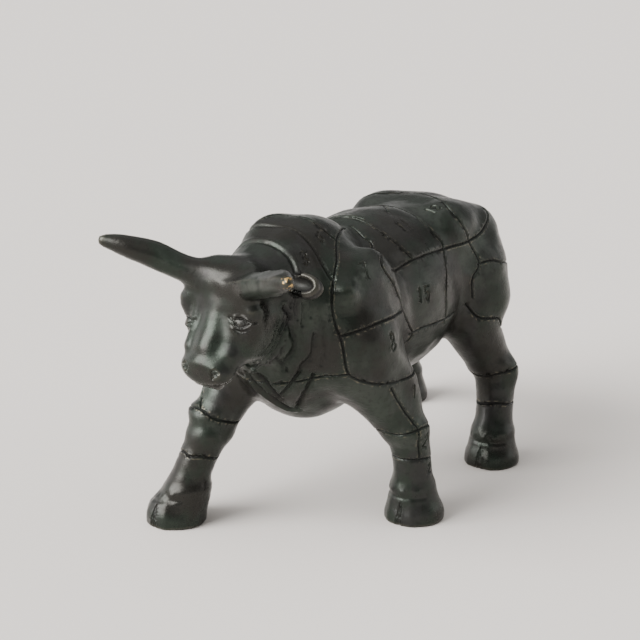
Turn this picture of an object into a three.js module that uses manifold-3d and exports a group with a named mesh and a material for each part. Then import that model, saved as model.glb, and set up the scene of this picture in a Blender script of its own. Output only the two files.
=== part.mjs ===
// A bull striding forward, cast in bronze as one piece, that stands on its four hooves.
// Millimetres. X points to the bull's left, Y runs back from its nose and Z is up from the floor.
// The body is a set of rounded forms, each a distance in millimetres from its surface, that run
// into each other as modelling wax does. A lattice is laid through them and skinned, the soles
// are cut flat, and the butcher's lines are cut in.

import * as THREE from 'three';
import { mergeVertices } from 'three/addons/utils/BufferGeometryUtils.js';
import Module from 'manifold-3d';

const { Vector3 } = THREE;
const wasm = await Module();
wasm.setup();

// Driving dimensions
const HEAD_TOP = new Vector3(2, -65, 180); // the poll, between the horns
const HEAD_PITCH = 61; // degrees that the face falls below the level
const HEAD_ROLL = 2.5; // degrees that the left horn hangs below the right one
const HOOF = { sole: 19, soleHeight: 3, topHeight: 22, cleft: 17 };
const EYE = { middle: [17.2, 31, -10], radius: 5 }; // in the head's axes
const FAR_EAR = new Vector3(0, 4, -2); // how much lower the right ear sits
const CELL = 9.6; // lattice cell of the skin
const EAR_CELL = 4;
const HEAD_CELLS = 0.5; // part of its size that a cell loses at the head
const HEAD_REACH = 75; // how far around the head the cells are finer
const FLOOR_SNAP = 1.2; // corners this near the floor are set on it
const CUT = { depth: 1.5, above: 3, spread: 1.1, step: 12 }; // a butcher's line

// A stretched ball
function ball(centre, radii) {
  const middle = new Vector3(...centre);
  const size = new Vector3(...radii);
  const q = new Vector3();
  return (p) => {
    const near = q.subVectors(p, middle).divide(size).length();
    return (near * (near - 1)) / Math.max(q.divide(size).length(), 1e-9);
  };
}

// A round bar from one ball to another of a different size
function bone(from, fromRadius, to, toRadius) {
  const start = new Vector3(...from);
  const axis = new Vector3(...to).sub(start);
  const length = axis.length();
  axis.divideScalar(length);
  const slope = (fromRadius - toRadius) / length;
  const rise = Math.sqrt(1 - slope * slope);
  const q = new Vector3();
  return (p) => {
    q.subVectors(p, start);
    const along = q.dot(axis);
    const across = Math.sqrt(Math.max(q.lengthSq() - along * along, 0));
    const place = rise * along - slope * across;
    if (place < 0) return Math.hypot(across, along) - fromRadius;
    if (place > rise * length) return Math.hypot(across, along - length) - toRadius;
    return rise * across + slope * along - fromRadius;
  };
}

// Smooth curves of place and of radius through joints of [place, radius]
function courses(joints) {
  const smooth = (points) => new THREE.CatmullRomCurve3(points, false, 'catmullrom', 0.5);
  const places = smooth(joints.map(([place]) => new Vector3(...place)));
  const radii = smooth(joints.map(([, radius]) => new Vector3(radius, 0, 0)));
  return [places, radii];
}

// Bones along a smooth course
function limb(joints, steps = 4) {
  const [places, radii] = courses(joints);
  const count = steps * (joints.length - 1);
  const bones = [];
  for (let i = 0; i < count; i++) {
    const [a, b] = [i / count, (i + 1) / count];
    bones.push(bone(places.getPoint(a), radii.getPoint(a).x, places.getPoint(b), radii.getPoint(b).x));
  }
  return (p) => bones.reduce((nearest, form) => Math.min(nearest, form(p)), Infinity);
}

// Two distances joined over a rounded seam that is about as wide as it says
function smoothMin(a, b, seam) {
  const overlap = Math.max(seam - Math.abs(a - b), 0) / (seam || 1);
  return Math.min(a, b) - (overlap * overlap * seam) / 4;
}

// Forms given as [seam, form], each run into the ones before it
function blend(...forms) {
  return (p) => forms.reduce((sum, [seam, form]) => smoothMin(sum, form(p), seam), Infinity);
}

function hollow(form, cut, seam) {
  return (p) => -smoothMin(-form(p), cut(p), seam);
}

function bothSides(form) {
  const q = new Vector3();
  return (p) => form(q.set(Math.abs(p.x), p.y, p.z));
}

function widened(form, factor) {
  const q = new Vector3();
  return (p) => form(q.set(p.x / factor, p.y, p.z));
}

// Trunk and neck
const trunk = blend(
  [0, ball([2, 5, 128], [44, 46, 54])], // chest
  [18, ball([0, 84, 126], [53, 85, 56])], // barrel
  [16, ball([0, 150, 138], [43, 46, 42])], // croup
  [16, ball([4, 4, 160], [26, 42, 33])], // hump
  [14, ball([4, 16, 88], [25, 34, 23])], // brisket
  [14, bothSides(ball([26, 139, 162], [17, 26, 17]))], // hip bones
  [14, bothSides(ball([27.5, 173, 153], [15, 16, 16.5]))], // pin bones
  [12, ball([41, 17, 130], [18, 35, 46])], // left shoulder
  [12, ball([-37, 8, 124], [17, 32, 44])], // right shoulder
  [8, ball([-12, -1, 176.5], [13, 20, 16.5])], // right withers
);
const neck = blend(
  [0, bone([3, -2, 146], 38, [3, -42, 156], 24)],
  [14, bone([2, -12, 112], 24, [3, -36, 136], 17)],
);

// The head is modelled in its own axes: to its left, down the face, and out of the face
const headAxes = new THREE.Matrix4()
  .makeTranslation(HEAD_TOP)
  .multiply(new THREE.Matrix4().makeRotationX(THREE.MathUtils.degToRad(HEAD_PITCH)))
  .multiply(new THREE.Matrix4().makeRotationZ(THREE.MathUtils.degToRad(-HEAD_ROLL)))
  .multiply(new THREE.Matrix4().makeScale(1, -1, 1));
const intoHead = headAxes.clone().invert();
const skull = blend(
  [0, ball([0, 12, -21], [22, 19, 20])],
  [8, bone([-11, 5, -10], 9, [11, 5, -10], 9)], // poll
  [8, widened(bone([0, 22, -17], 12, [0, 50, -17], 11), 1.8)], // face
  [7, bone([0, 8, -12], 11, [0, 47, -13], 7.5)], // bridge of the nose
  [9, bothSides(limb([[[10, 17, -9], 6.5], [[22.5, 23.5, -7.5], 5.8], [[17, 33, -18], 6],
    [[11, 47, -22], 5.5]]))], // brows
  [5, ball([0, 60.5, -15.5], [17.8, 9, 10])], // muzzle
  [10, bothSides(ball([11, 28, -34], [9.5, 19, 17]))], // cheeks
  [6, bone([0, 30, -36], 12, [0, 57, -28], 7)], // lower jaw
  [4, ball([0, 63, -25], [9, 5, 5])], // chin
);
const leftHorn = [
  [[8, 9, -8], 11],
  [[24, 9.3, 1], 8.3],
  [[40, 7.6, 10.5], 8.2],
  [[54, 6.6, 20.6], 7.6],
  [[66, 7.4, 28.8], 4.4],
  [[69, 7.7, 31.3], 2.2],
];
const rightHorn = [
  [[8, 9, -8], 11],
  [[24, 9.5, 1], 8.4],
  [[40, 8, 10.5], 8.2],
  [[54, 7.8, 21], 7.3],
  [[66, 9, 30], 3.8],
  [[68, 9.3, 32], 2],
];
const ear = hollow(ball([35, -1.5, -31], [13, 7.5, 6.5]), ball([38, -1.5, -25], [10, 5, 6]), 2);
const headForms = blend([0, skull], [6, bothSides(limb(rightHorn.slice(0, 3)))]);
const head = (p) => headForms(p.clone().applyMatrix4(intoHead));

// Legs: the joints from the shoulder or thigh down to the coronet, and the middle of the sole
function leg(joints, [x, y]) {
  const [[coronetX, coronetY], coronet] = joints.at(-1);
  const hoof = bone([x, y, HOOF.soleHeight], HOOF.sole, [coronetX, coronetY, HOOF.topHeight], coronet);
  return blend([0, limb(joints)], [5, hoof]);
}
const soles = [[63, 44], [-56.5, -45], [56, 154], [-62.5, 229]];
const legs = blend(
  [0, leg([[[42, 10, 120], 25], [[50, 20, 88], 17.5], [[59.8, 33.3, 62], 13], [[62.4, 40.4, 40], 12.4],
    [[62, 43, 18], 13]], soles[0])],
  [1, leg([[[-34, 5, 112], 25], [[-35, -16, 84], 17.5], [[-40, -30, 58], 13], [[-46.5, -38, 37], 12],
    [[-50, -41, 20], 13.4]], soles[1])],
  [1, leg([[[31, 158, 130], 27.5], [[39, 150, 98], 20], [[49, 161, 68], 14], [[53, 161, 50], 13],
    [[55, 158, 34], 13], [[56, 155, 18], 13.5]], soles[2])],
  [1, leg([[[-31, 161, 130], 27.5], [[-43, 177, 96], 20], [[-54, 210, 70], 14], [[-58, 219, 50], 12.5],
    [[-61, 226, 32], 12.5], [[-62, 228, 18], 13]], soles[3])],
  [8, ball([48, 162, 113], [12, 13, 15])], // backs of the thighs
  [8, ball([-49, 178, 108], [11, 13, 15])],
  [5, ball([-41.5, -27.5, 70], [14.6, 14.6, 8])], // right knee
  [6, ball([61, 166, 61], [6, 6, 9])], // hocks
  [6, ball([-54, 218, 68], [7, 7, 9])],
);
const tail = limb([
  [[0, 184, 160], 7],
  [[5, 193, 142], 6],
  [[14, 187, 126], 5.5],
  [[22, 178, 111], 5.5],
  [[27, 171, 96], 5.5],
  [[33, 173, 79], 6.5],
  [[39, 175, 65], 5],
]);
const wax = blend([0, trunk], [16, neck], [12, legs], [5, tail], [6, head]);

// Slope of the distance, which points straight out of the surface
function slopeAt(form, p, step = 0.2) {
  const slope = new Vector3();
  for (const axis of ['x', 'y', 'z']) {
    const ahead = p.clone();
    const behind = p.clone();
    ahead[axis] += step;
    behind[axis] -= step;
    slope[axis] = (form(ahead) - form(behind)) / (2 * step);
  }
  return slope;
}

function ontoSurface(form, p, steps = 4) {
  for (let i = 0; i < steps; i++) {
    const slope = slopeAt(form, p);
    const move = THREE.MathUtils.clamp(form(p) / Math.max(slope.lengthSq(), 1e-6), -CELL, CELL);
    p.addScaledVector(slope, -move);
  }
  return p;
}

// Lattice places, drawn together around the head so that its cells are finer
const headMiddle = new Vector3(0, 28, -20).applyMatrix4(headAxes);
function drawnIn(p) {
  const away = p.distanceTo(headMiddle) / HEAD_REACH;
  return p.sub(headMiddle).multiplyScalar(1 - HEAD_CELLS * Math.exp(-away * away)).add(headMiddle);
}

// Two balls that touch only across a corner of the lattice would share an edge of the skin, so the
// nearer of the two empty nodes between them is filled
function closeCorners(values, strides) {
  let filled = true;
  while (filled) {
    filled = false;
    for (const [along, across] of [[0, 1], [1, 2], [2, 0]].map((pair) => pair.map((axis) => strides[axis]))) {
      for (let n = 0; n + along + across < values.length; n++) {
        const square = [n, n + along, n + along + across, n + across];
        const [a, b, c, d] = square.map((node) => values[node] < 0);
        if (a !== c || b !== d || a === b) continue;
        const empty = square.filter((node) => values[node] >= 0);
        values[values[empty[0]] < values[empty[1]] ? empty[0] : empty[1]] = -1e-3;
        filled = true;
      }
    }
  }
}

// Skin of a form: one corner in each lattice cell that the surface crosses, and one face of four
// corners around each lattice edge that it crosses
function skin(form, box, cell, settled = (p) => p) {
  const counts = box.getSize(new Vector3()).divideScalar(cell).ceil().addScalar(1).toArray();
  const strides = [counts[1] * counts[2], counts[2], 1];
  const nodes = [];
  for (let i = 0; i < counts[0]; i++) {
    for (let j = 0; j < counts[1]; j++) {
      for (let k = 0; k < counts[2]; k++) {
        nodes.push(settled(new Vector3(i, j, k).multiplyScalar(cell).add(box.min)));
      }
    }
  }
  const values = nodes.map(form);
  closeCorners(values, strides);
  const corners = [0, 1, 2, 3, 4, 5, 6, 7].map((c) => strides[0] * (c >> 2) + strides[1] * ((c >> 1) & 1) + (c & 1));
  const edges = [];
  for (let a = 0; a < 8; a++) {
    for (const bit of [1, 2, 4]) if (!(a & bit)) edges.push([corners[a], corners[a | bit]]);
  }

  const places = [];
  const cornerOf = new Map();
  for (let i = 0; i < counts[0] - 1; i++) {
    for (let j = 0; j < counts[1] - 1; j++) {
      for (let k = 0; k < counts[2] - 1; k++) {
        const n = i * strides[0] + j * strides[1] + k;
        const crossed = edges.filter(([a, b]) => values[n + a] < 0 !== values[n + b] < 0);
        if (!crossed.length) continue;
        const place = new Vector3();
        for (const [a, b] of crossed) {
          const [inner, outer] = [values[n + a], values[n + b]];
          place.add(nodes[n + a].clone().lerp(nodes[n + b], inner / (inner - outer)));
        }
        cornerOf.set(n, places.length);
        ontoSurface(form, place.divideScalar(crossed.length));
        if (Math.abs(place.z) < FLOOR_SNAP) place.z = 0;
        places.push(place);
      }
    }
  }

  const faces = [];
  for (let axis = 0; axis < 3; axis++) {
    const [along, across, up] = [strides[axis], strides[(axis + 1) % 3], strides[(axis + 2) % 3]];
    for (let n = 0; n + along < nodes.length; n++) {
      if (values[n] < 0 === values[n + along] < 0) continue;
      const around = [n - across - up, n - up, n, n - across].map((first) => cornerOf.get(first));
      if (around.includes(undefined)) continue;
      if (values[n] >= 0) around.reverse();
      const [a, b, c, d] = around;
      const short = places[a].distanceTo(places[c]) <= places[b].distanceTo(places[d]);
      faces.push(...(short ? [a, b, c, a, c, d] : [a, b, d, b, c, d]));
    }
  }
  const geometry = new THREE.BufferGeometry().setFromPoints(places);
  return geometry.setIndex(faces);
}

function solid(geometry) {
  const bare = new THREE.BufferGeometry().setAttribute('position', geometry.getAttribute('position'));
  bare.setIndex(geometry.getIndex());
  const merged = mergeVertices(bare, 1e-4);
  const triVerts = new Uint32Array(merged.getIndex().array);
  const vertProperties = new Float32Array(merged.getAttribute('position').array);
  return new wasm.Manifold(new wasm.Mesh({ numProp: 3, vertProperties, triVerts }));
}

function asGeometry(body) {
  const mesh = body.getMesh();
  const geometry = new THREE.BufferGeometry();
  geometry.setAttribute('position', new THREE.BufferAttribute(new Float32Array(mesh.vertProperties), 3));
  return geometry.setIndex(new THREE.BufferAttribute(new Uint32Array(mesh.triVerts), 1));
}

// A closed tube along a course, flat at both ends
function tube(joints, rows = 12, sides = 10) {
  const [places, radii] = courses(joints);
  const { normals, binormals } = places.computeFrenetFrames(rows);
  const corners = [];
  const faces = [];
  for (let i = 0; i <= rows; i++) {
    const t = places.getUtoTmapping(i / rows);
    const radius = radii.getPoint(t).x;
    for (let j = 0; j < sides; j++) {
      const turn = (2 * Math.PI * j) / sides;
      const corner = places.getPoint(t).addScaledVector(normals[i], radius * Math.cos(turn));
      corners.push(corner.addScaledVector(binormals[i], radius * Math.sin(turn)));
      if (i === rows) continue;
      const [a, b] = [i * sides + j, i * sides + ((j + 1) % sides)];
      faces.push(a, b, a + sides, b, b + sides, a + sides);
    }
  }
  for (let j = 2; j < sides; j++) {
    faces.push(0, j, j - 1);
    faces.push(rows * sides, rows * sides + j - 1, rows * sides + j);
  }
  return solid(new THREE.BufferGeometry().setFromPoints(corners).setIndex(faces));
}

// Three-sided bars end to end that follow the surface through some places near it, with an edge
// down, to cut one line
function cutter(form, points) {
  const path = new THREE.CatmullRomCurve3(points.map((point) => new Vector3(...point)));
  const count = Math.round(path.getLength() / CUT.step);
  const rows = [];
  for (let i = 0; i <= count; i++) {
    const place = ontoSurface(form, path.getPointAt(i / count));
    const out = slopeAt(form, place).normalize();
    const across = path.getTangentAt(i / count).cross(out).normalize();
    const top = place.clone().addScaledVector(out, CUT.above);
    const halfWidth = CUT.spread * (CUT.depth + CUT.above);
    rows.push([
      place.addScaledVector(out, -CUT.depth),
      top.clone().addScaledVector(across, halfWidth),
      top.addScaledVector(across, -halfWidth),
    ]);
  }
  const prism = [0, 1, 2, 3, 5, 4, 0, 3, 1, 1, 3, 4, 1, 4, 2, 2, 4, 5, 2, 5, 0, 0, 5, 3];
  const bars = rows.slice(1).map((row, i) =>
    solid(new THREE.BufferGeometry().setFromPoints([...rows[i], ...row]).setIndex(prism)));
  return bars.reduce((whole, bar) => whole.add(bar));
}

// Lines on the left flank, repeated plainly on the right one
const flankLines = [
  [[8, 53, 178], [20, 49, 174], [34, 44, 168], [50, 38, 152], [55, 42, 136], [55, 53, 119], [56, 50, 104],
    [66, 32, 96], [66, 14, 98], [54, -8, 102], [51, -14, 110], [48, -17, 132], [43, -19, 152], [38, -6, 173],
    [27, 11, 183]], // around the shoulder
  [[0, 92, 181], [10, 103, 180], [21, 109, 175], [36, 109, 164], [45, 106, 152], [52, 98, 132], [51, 98, 112]],
  [[32, 174, 166], [44, 152, 159], [44, 130, 156], [42, 106, 157], [45, 72, 158], [50, 52, 159]],
  [[0, 148, 180], [20, 141, 180], [33, 131, 177], [44, 134, 162], [50, 139, 145], [50, 133, 120]],
];

const room = new THREE.Box3(new Vector3(-105, -150, -24), new Vector3(105, 275, 225));
const floor = new THREE.BoxGeometry(400, 700, 100).translate(0, 80, -50);
let body = solid(skin(wax, room, CELL, drawnIn)).subtract(solid(floor));

// Horns, ears, eyes and nostrils, each given for the left side of the head
for (const side of [1, -1]) {
  const inHead = ([x, y, z]) => new Vector3(side * x, y, z).applyMatrix4(headAxes);
  const horn = side > 0 ? leftHorn : rightHorn;
  body = body.add(tube(horn.slice(1).map(([place, radius]) => [inHead(place), radius])));
  const drop = side < 0 ? FAR_EAR : new Vector3();
  const earRoom = new THREE.Box3().setFromCenterAndSize(inHead([35, -1.5, -31]), new Vector3(44, 44, 44));
  const placedEar = (p) => {
    const q = p.clone().applyMatrix4(intoHead).sub(drop);
    return ear(q.setX(side * q.x));
  };
  body = body.add(solid(skin(placedEar, earRoom, EAR_CELL)));
  const eye = new THREE.SphereGeometry(EYE.radius, 10, 8).translate(...inHead(EYE.middle));
  const nostril = new THREE.SphereGeometry(2.4, 8, 6).translate(...inHead([11, 63, -7.6]));
  body = body.add(solid(eye)).subtract(solid(nostril));
}

for (const line of flankLines) {
  body = body.subtract(cutter(wax, line));
  body = body.subtract(cutter(wax, line.map(([x, y, z]) => [-x, y, z]).reverse()));
}
const mouth = [[-18, 58, -20], [-14, 65, -17], [0, 69, -15], [14, 65, -17], [18, 58, -20]];
body = body.subtract(cutter(wax, mouth.map((place) => new Vector3(...place).applyMatrix4(headAxes))));
for (const [x, y] of soles) {
  body = body.subtract(cutter(wax, [[x, y - 19, -4], [x, y - 17.5, 8], [x, y - 14, HOOF.cleft]]));
}
const cast = asGeometry(body);

// The origin is on the floor under the middle of the whole
cast.computeBoundingBox();
const middle = cast.boundingBox.getCenter(new Vector3());
cast.translate(-middle.x, -middle.y, 0);
cast.computeVertexNormals();

const bronze = new THREE.MeshStandardMaterial({ color: 0x39403a, metalness: 0.85, roughness: 0.42 });
const bull = new THREE.Mesh(cast, bronze);
bull.name = 'bull';
const sculpture = new THREE.Group();
sculpture.add(bull);

export default sculpture;
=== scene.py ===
"""A bull striding forward, cast in bronze in one piece, on a pale studio floor."""

import bpy
import numpy as np
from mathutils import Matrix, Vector


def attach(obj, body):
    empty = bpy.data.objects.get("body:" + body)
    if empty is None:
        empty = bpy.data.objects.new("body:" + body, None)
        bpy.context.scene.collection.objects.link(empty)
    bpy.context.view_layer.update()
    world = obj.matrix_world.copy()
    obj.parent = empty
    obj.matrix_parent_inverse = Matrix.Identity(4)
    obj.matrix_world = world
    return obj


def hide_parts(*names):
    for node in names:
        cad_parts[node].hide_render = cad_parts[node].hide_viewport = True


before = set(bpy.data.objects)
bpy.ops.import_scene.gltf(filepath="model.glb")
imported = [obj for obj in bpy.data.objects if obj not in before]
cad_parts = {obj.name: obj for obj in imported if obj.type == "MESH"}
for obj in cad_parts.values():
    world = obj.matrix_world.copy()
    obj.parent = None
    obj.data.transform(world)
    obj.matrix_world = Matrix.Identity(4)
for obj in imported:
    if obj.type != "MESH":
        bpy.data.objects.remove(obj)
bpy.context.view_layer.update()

# Camera
# The photograph looks from the bull's front left, a little above its back, through a long lens
# from a little over a metre away.

SIGHT = np.radians([35, 17])  # how far round to the bull's left, and how high
CAMERA_PLACE = (0.57906, -0.87072, 0.430)  # metres
LENS = 95.6  # millimetres

camera = bpy.data.objects.new("camera", bpy.data.cameras.new("camera"))
camera.data.sensor_width = 36
camera.data.lens = LENS
camera.location = CAMERA_PLACE
towards = Vector(
    (
        -np.sin(SIGHT[0]) * np.cos(SIGHT[1]),
        np.cos(SIGHT[0]) * np.cos(SIGHT[1]),
        -np.sin(SIGHT[1]),
    )
)
camera.rotation_euler = towards.to_track_quat("-Z", "Y").to_euler()
bpy.context.scene.collection.objects.link(camera)
bpy.context.scene.camera = camera

# Trunk and neck
# The sculpture was modelled in wax over an armature and cast hollow in one piece. The trunk is
# its first mass. Each form is the distance in millimetres from its surface, over whole arrays of
# places: X to the bull's left, Y back from its nose, Z up from the floor.


def ball(centre, radii):
    """Distance from a stretched ball: how many radii out a place is, less one, times its size
    in that direction."""
    centre, radii = np.array(centre, np.float32), np.array(radii, np.float32)

    def form(p):
        q = (p - centre) / radii
        out = np.sqrt((q * q).sum(1))
        q /= radii
        return out * (out - 1) / np.maximum(np.sqrt((q * q).sum(1)), 1e-6)

    return form


def bone(start, start_radius, end, end_radius):
    """Distance from a round bar between two balls: beside it, the distance from the cone that
    touches both, and past either end the distance from that end's ball."""
    start = np.array(start, np.float32)
    axis = np.array(end, np.float32) - start
    length = float(np.sqrt(axis @ axis))
    axis /= length
    slope = (start_radius - end_radius) / length
    rise = float(np.sqrt(1 - slope * slope))

    def form(p):
        q = p - start
        along = q @ axis
        across = np.sqrt(np.maximum((q * q).sum(1) - along * along, 0))
        place = rise * along - slope * across
        beside = rise * across + slope * along - start_radius
        before = np.hypot(across, along) - start_radius
        after = np.hypot(across, along - length) - end_radius
        return np.where(place < 0, before, np.where(place > rise * length, after, beside))

    return form


def smooth_min(a, b, seam):
    """The smaller of two distances, less a rounded fillet where they are within a seam."""
    overlap = np.maximum(seam - np.abs(a - b), 0)
    return np.minimum(a, b) - overlap * overlap / (4 * seam)


def blend(first, *others):
    """Forms run into each other as wax does, the later ones given as (seam, form)."""

    def form(p):
        distance = first(p)
        for seam, other in others:
            distance = smooth_min(distance, other(p), seam)
        return distance

    return form


def both_sides(part):
    """A form on the left and its mirror image on the right."""
    return lambda p: part(np.stack([np.abs(p[:, 0]), p[:, 1], p[:, 2]], 1))


trunk = blend(
    ball((2, 5, 128), (44, 46, 54)),  # chest
    (18, ball((0, 84, 126), (53, 85, 56))),  # barrel
    (16, ball((0, 150, 138), (43, 46, 42))),  # croup
    (16, ball((4, 4, 160), (26, 42, 33))),  # hump
    (14, ball((4, 16, 88), (25, 34, 23))),  # brisket
    (14, both_sides(ball((26, 139, 162), (17, 26, 17)))),  # hip bones
    (14, both_sides(ball((27.5, 173, 153), (15, 16, 16.5)))),  # pin bones
    (12, ball((41, 17, 130), (18, 35, 46))),  # left shoulder
    (12, ball((-37, 8, 124), (17, 32, 44))),  # right shoulder
    (8, ball((-12, -1, 176.5), (13, 20, 16.5))),  # right withers
    (6, ball((46.5, -9.5, 155.3), (6.8, 6.6, 7.5))),  # point of the left shoulder
    (5, ball((-39, -10, 150), (8, 7, 9))),  # point of the right shoulder
)
neck = blend(
    bone((3, -2, 146), 38, (3, -42, 156), 24),
    (14, bone((2, -12, 112), 24, (3, -36, 136), 17)),
)

# Head
# The head hangs low and straight ahead, the face steeper than half way to upright. It is modelled
# in its own axes: to its left, down the face from the poll, and out of the face.

HEAD_TOP = np.array((2, -65, 180), np.float32)
HEAD_PITCH = np.radians(61)
HEAD_ROLL = np.radians(2.5)

down = np.array((0, -np.cos(HEAD_PITCH), -np.sin(HEAD_PITCH)))
side = np.array((1, 0, 0))
HEAD_AXES = np.array(
    (
        np.cos(HEAD_ROLL) * side + np.sin(HEAD_ROLL) * down,
        np.cos(HEAD_ROLL) * down - np.sin(HEAD_ROLL) * side,
        (0, -np.sin(HEAD_PITCH), np.cos(HEAD_PITCH)),
    ),
    np.float32,
)


def on_head(places):
    """Places given in the head's axes, as places on the bull."""
    return np.array(places, np.float32) @ HEAD_AXES + HEAD_TOP


REACH = 32  # past this distance from a form nothing depends on how far off it is


def course(joints, steps):
    """Rows of (x, y, z, radius) on the Catmull-Rom curve through joints of (place, radius)."""
    rows = np.array([[*place, radius] for place, radius in joints], float)
    rows = np.vstack([2 * rows[0] - rows[1], rows, 2 * rows[-1] - rows[-2]])
    before, here, there, after = rows[:-3], rows[1:-2], rows[2:-1], rows[3:]
    t = np.linspace(0, 1, steps, endpoint=False)[None, :, None]
    before, here, there, after = (part[:, None] for part in (before, here, there, after))
    curve = (
        2 * here
        + (there - before) * t
        + (2 * before - 5 * here + 4 * there - after) * t**2
        + (3 * here - before - 3 * there + after) * t**3
    ) / 2
    return np.vstack([curve.reshape(-1, 4), rows[-2]])


def limb(joints, steps=4):
    """Distance from round bars end to end along the curve through joints of (place, radius)."""
    rows = course(joints, steps)
    bones = [bone(a[:3], a[3], b[:3], b[3]) for a, b in zip(rows[:-1], rows[1:])]
    low = (rows[:, :3] - rows[:, 3:] - REACH).min(0)
    high = (rows[:, :3] + rows[:, 3:] + REACH).max(0)

    def form(p):
        near = ((p > low) & (p < high)).all(1)
        distance = np.full(len(p), REACH, np.float32)
        for part in bones:
            distance[near] = np.minimum(distance[near], part(p[near]))
        return distance

    return form


def hollowed(body, *cuts):
    """A body with forms pressed out of it, given as (seam, form)."""

    def form(p):
        distance = body(p)
        for seam, cut in cuts:
            distance = -smooth_min(-distance, cut(p), seam)
        return distance

    return form


def mirrored(part, shift=(0, 0, 0)):
    """The mirror image of a form on the left, moved a little."""
    return lambda p: part((p - np.array(shift, np.float32)) * np.array((-1, 1, 1), np.float32))


def widened(part, factor):
    """A form stretched sideways."""
    return lambda p: part(p / np.array((factor, 1, 1), np.float32))


CHEEKBONES = [
    # the left one, and the right one with its brow a little lower
    [((10, 17, -9), 6.5), ((22, 22, -9), 5.6), ((17, 33, -18), 6), ((11, 47, -22), 5.5)],
    [((10, 17, -9), 6.5), ((22.5, 23.5, -7.5), 5.8), ((17, 33, -18), 6), ((11, 47, -22), 5.5)],
]
NOSE_RIDGES = [
    # from the brow down the left side of the nose, and down the right side
    [((12, 23, -8.5), 4), ((13, 31, -10.6), 4), ((13, 43, -14), 4), ((13.4, 50, -14), 4)],
    [((12, 23, -7.3), 4), ((13, 31, -8.8), 4), ((13, 43, -12), 4), ((13.4, 50, -12), 4)],
]
skull = blend(
    ball((0, 12, -21), (22, 19, 20)),
    (8, bone((-11, 5, -10), 9, (11, 5, -10), 9)),  # poll
    (8, widened(bone((0, 22, -17), 12, (0, 50, -17), 11), 1.8)),  # face
    (7, bone((0, 8, -12), 11, (0, 47, -13), 7.5)),  # bridge of the nose
    (9, limb(CHEEKBONES[0])),
    (9, mirrored(limb(CHEEKBONES[1]))),
    (7, limb(NOSE_RIDGES[0])),
    (3, mirrored(limb(NOSE_RIDGES[1]))),  # sharper than the left one
    (5, ball((0, 60.5, -15.5), (18.2, 9.4, 10))),  # muzzle
    (10, both_sides(ball((11, 28, -34), (9.5, 19, 17)))),  # cheeks
    (8, ball((13.5, 29, -39), (12, 18, 18))),  # left side of the jaw
    (8, ball((18.5, 31, -24), (7.3, 15, 12))),  # left cheek
    (6, bone((0, 30, -36), 12, (0, 57, -28), 7)),  # lower jaw
    (4, ball((0, 63, -25), (9, 5, 5))),  # chin
    (1.5, bone((-6, 66, -20.2), 4.3, (7, 66, -20.2), 4.3)),  # lower lip
)

EYE_MIDDLE = np.array((19.5, 30, -6.2))
EYE_OUT = np.array((0.5, 0.05, 0.86))
EYE_LONG = np.array((0.855, -0.188, -0.485))  # from the inner corner to the outer one
EYE_TALL = np.cross(EYE_LONG, EYE_OUT)
FAR_EYE = np.array((0, 6.5, -1.2))  # the right eye sits lower on the face than the left one
EYEBALL = 5.3  # radius
eyeball = ball(EYE_MIDDLE - 0.7 * EYE_TALL - 5.15 * EYE_OUT, (EYEBALL, EYEBALL, EYEBALL))
face = hollowed(
    skull,
    (1.6, lambda p: 29.6 - p[:, 1] * 0.57 - p[:, 2] * 0.82),  # flat nose pad
    (1.5, both_sides(ball((11, 62.8, -8), (1.1, 1, 1.6)))),  # nostrils
)
face = blend(face, (1, eyeball), (1, mirrored(eyeball, FAR_EYE)))

# Horns and ears
# The horns spread sideways and forward from the poll, thick in the middle and blunt at the tip,
# the left one with its upper side smoothed flat. Each ear is a short cup with a rim, behind the
# horn. They were modelled on the head and cast with it.


def within(part, low, high):
    """A form worked out only in a box around it, and taken as far off everywhere else."""

    def form(p):
        near = ((p > low) & (p < high)).all(1)
        distance = np.full(len(p), REACH, np.float32)
        distance[near] = part(p[near])
        return distance

    return form


left_horn = limb(
    [
        ((8, 9, -8), 11),
        ((24, 9.3, 1), 8.3),
        ((40, 7.6, 10.5), 8.2),
        ((54, 6.6, 20.6), 7.6),
        ((65.5, 7.4, 28.4), 4.2),
    ],
    8,
)
right_horn = mirrored(
    limb(
        [
            ((8, 9, -8), 11),
            ((24, 9.5, 1), 8.4),
            ((40, 8, 10.5), 8.2),
            ((54, 7.8, 21), 7.3),
            ((65.8, 8.8, 29), 3.6),
        ],
        8,
    )
)
HORN_UNDERSIDE = np.array((0.4, 0.7, -0.58), np.float32)  # faces away from the flat
left_horn = hollowed(left_horn, (1.2, lambda p: p @ HORN_UNDERSIDE - 9.2))

ear_rim = [
    ((35.6 + 10.4 * np.cos(turn), -1.5 + 5.7 * np.sin(turn), -27), 1.7)
    for turn in np.linspace(0, 2 * np.pi, 11)
]
ear = blend(
    hollowed(
        ball((35, -1.5, -31), (13, 7.5, 6.5)),
        (2.5, ball((36.5, -1.5, -23.5), (8.8, 4.6, 4.6))),
    ),
    (2, limb(ear_rim, 2)),
)
ear = within(ear, (5, -45, -70), (70, 40, 10))
head_parts = blend(
    face,
    (6, blend(left_horn, (8, right_horn))),
    (2, ear),
    (2, mirrored(ear, (0, 4, -2))),
)
head = within(lambda p: head_parts((p - HEAD_TOP) @ HEAD_AXES.T), (-120, -135, 70), (120, 0, 230))

# Legs and hooves
# The bull strides: the right foreleg reaches forward and the right hind leg trails. Each leg is
# round in section down to a flared cloven hoof with a flat sole.

SOLE = 19  # radius of the hoof low down
COLLAR = 21  # height of the coronet above the floor


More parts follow.
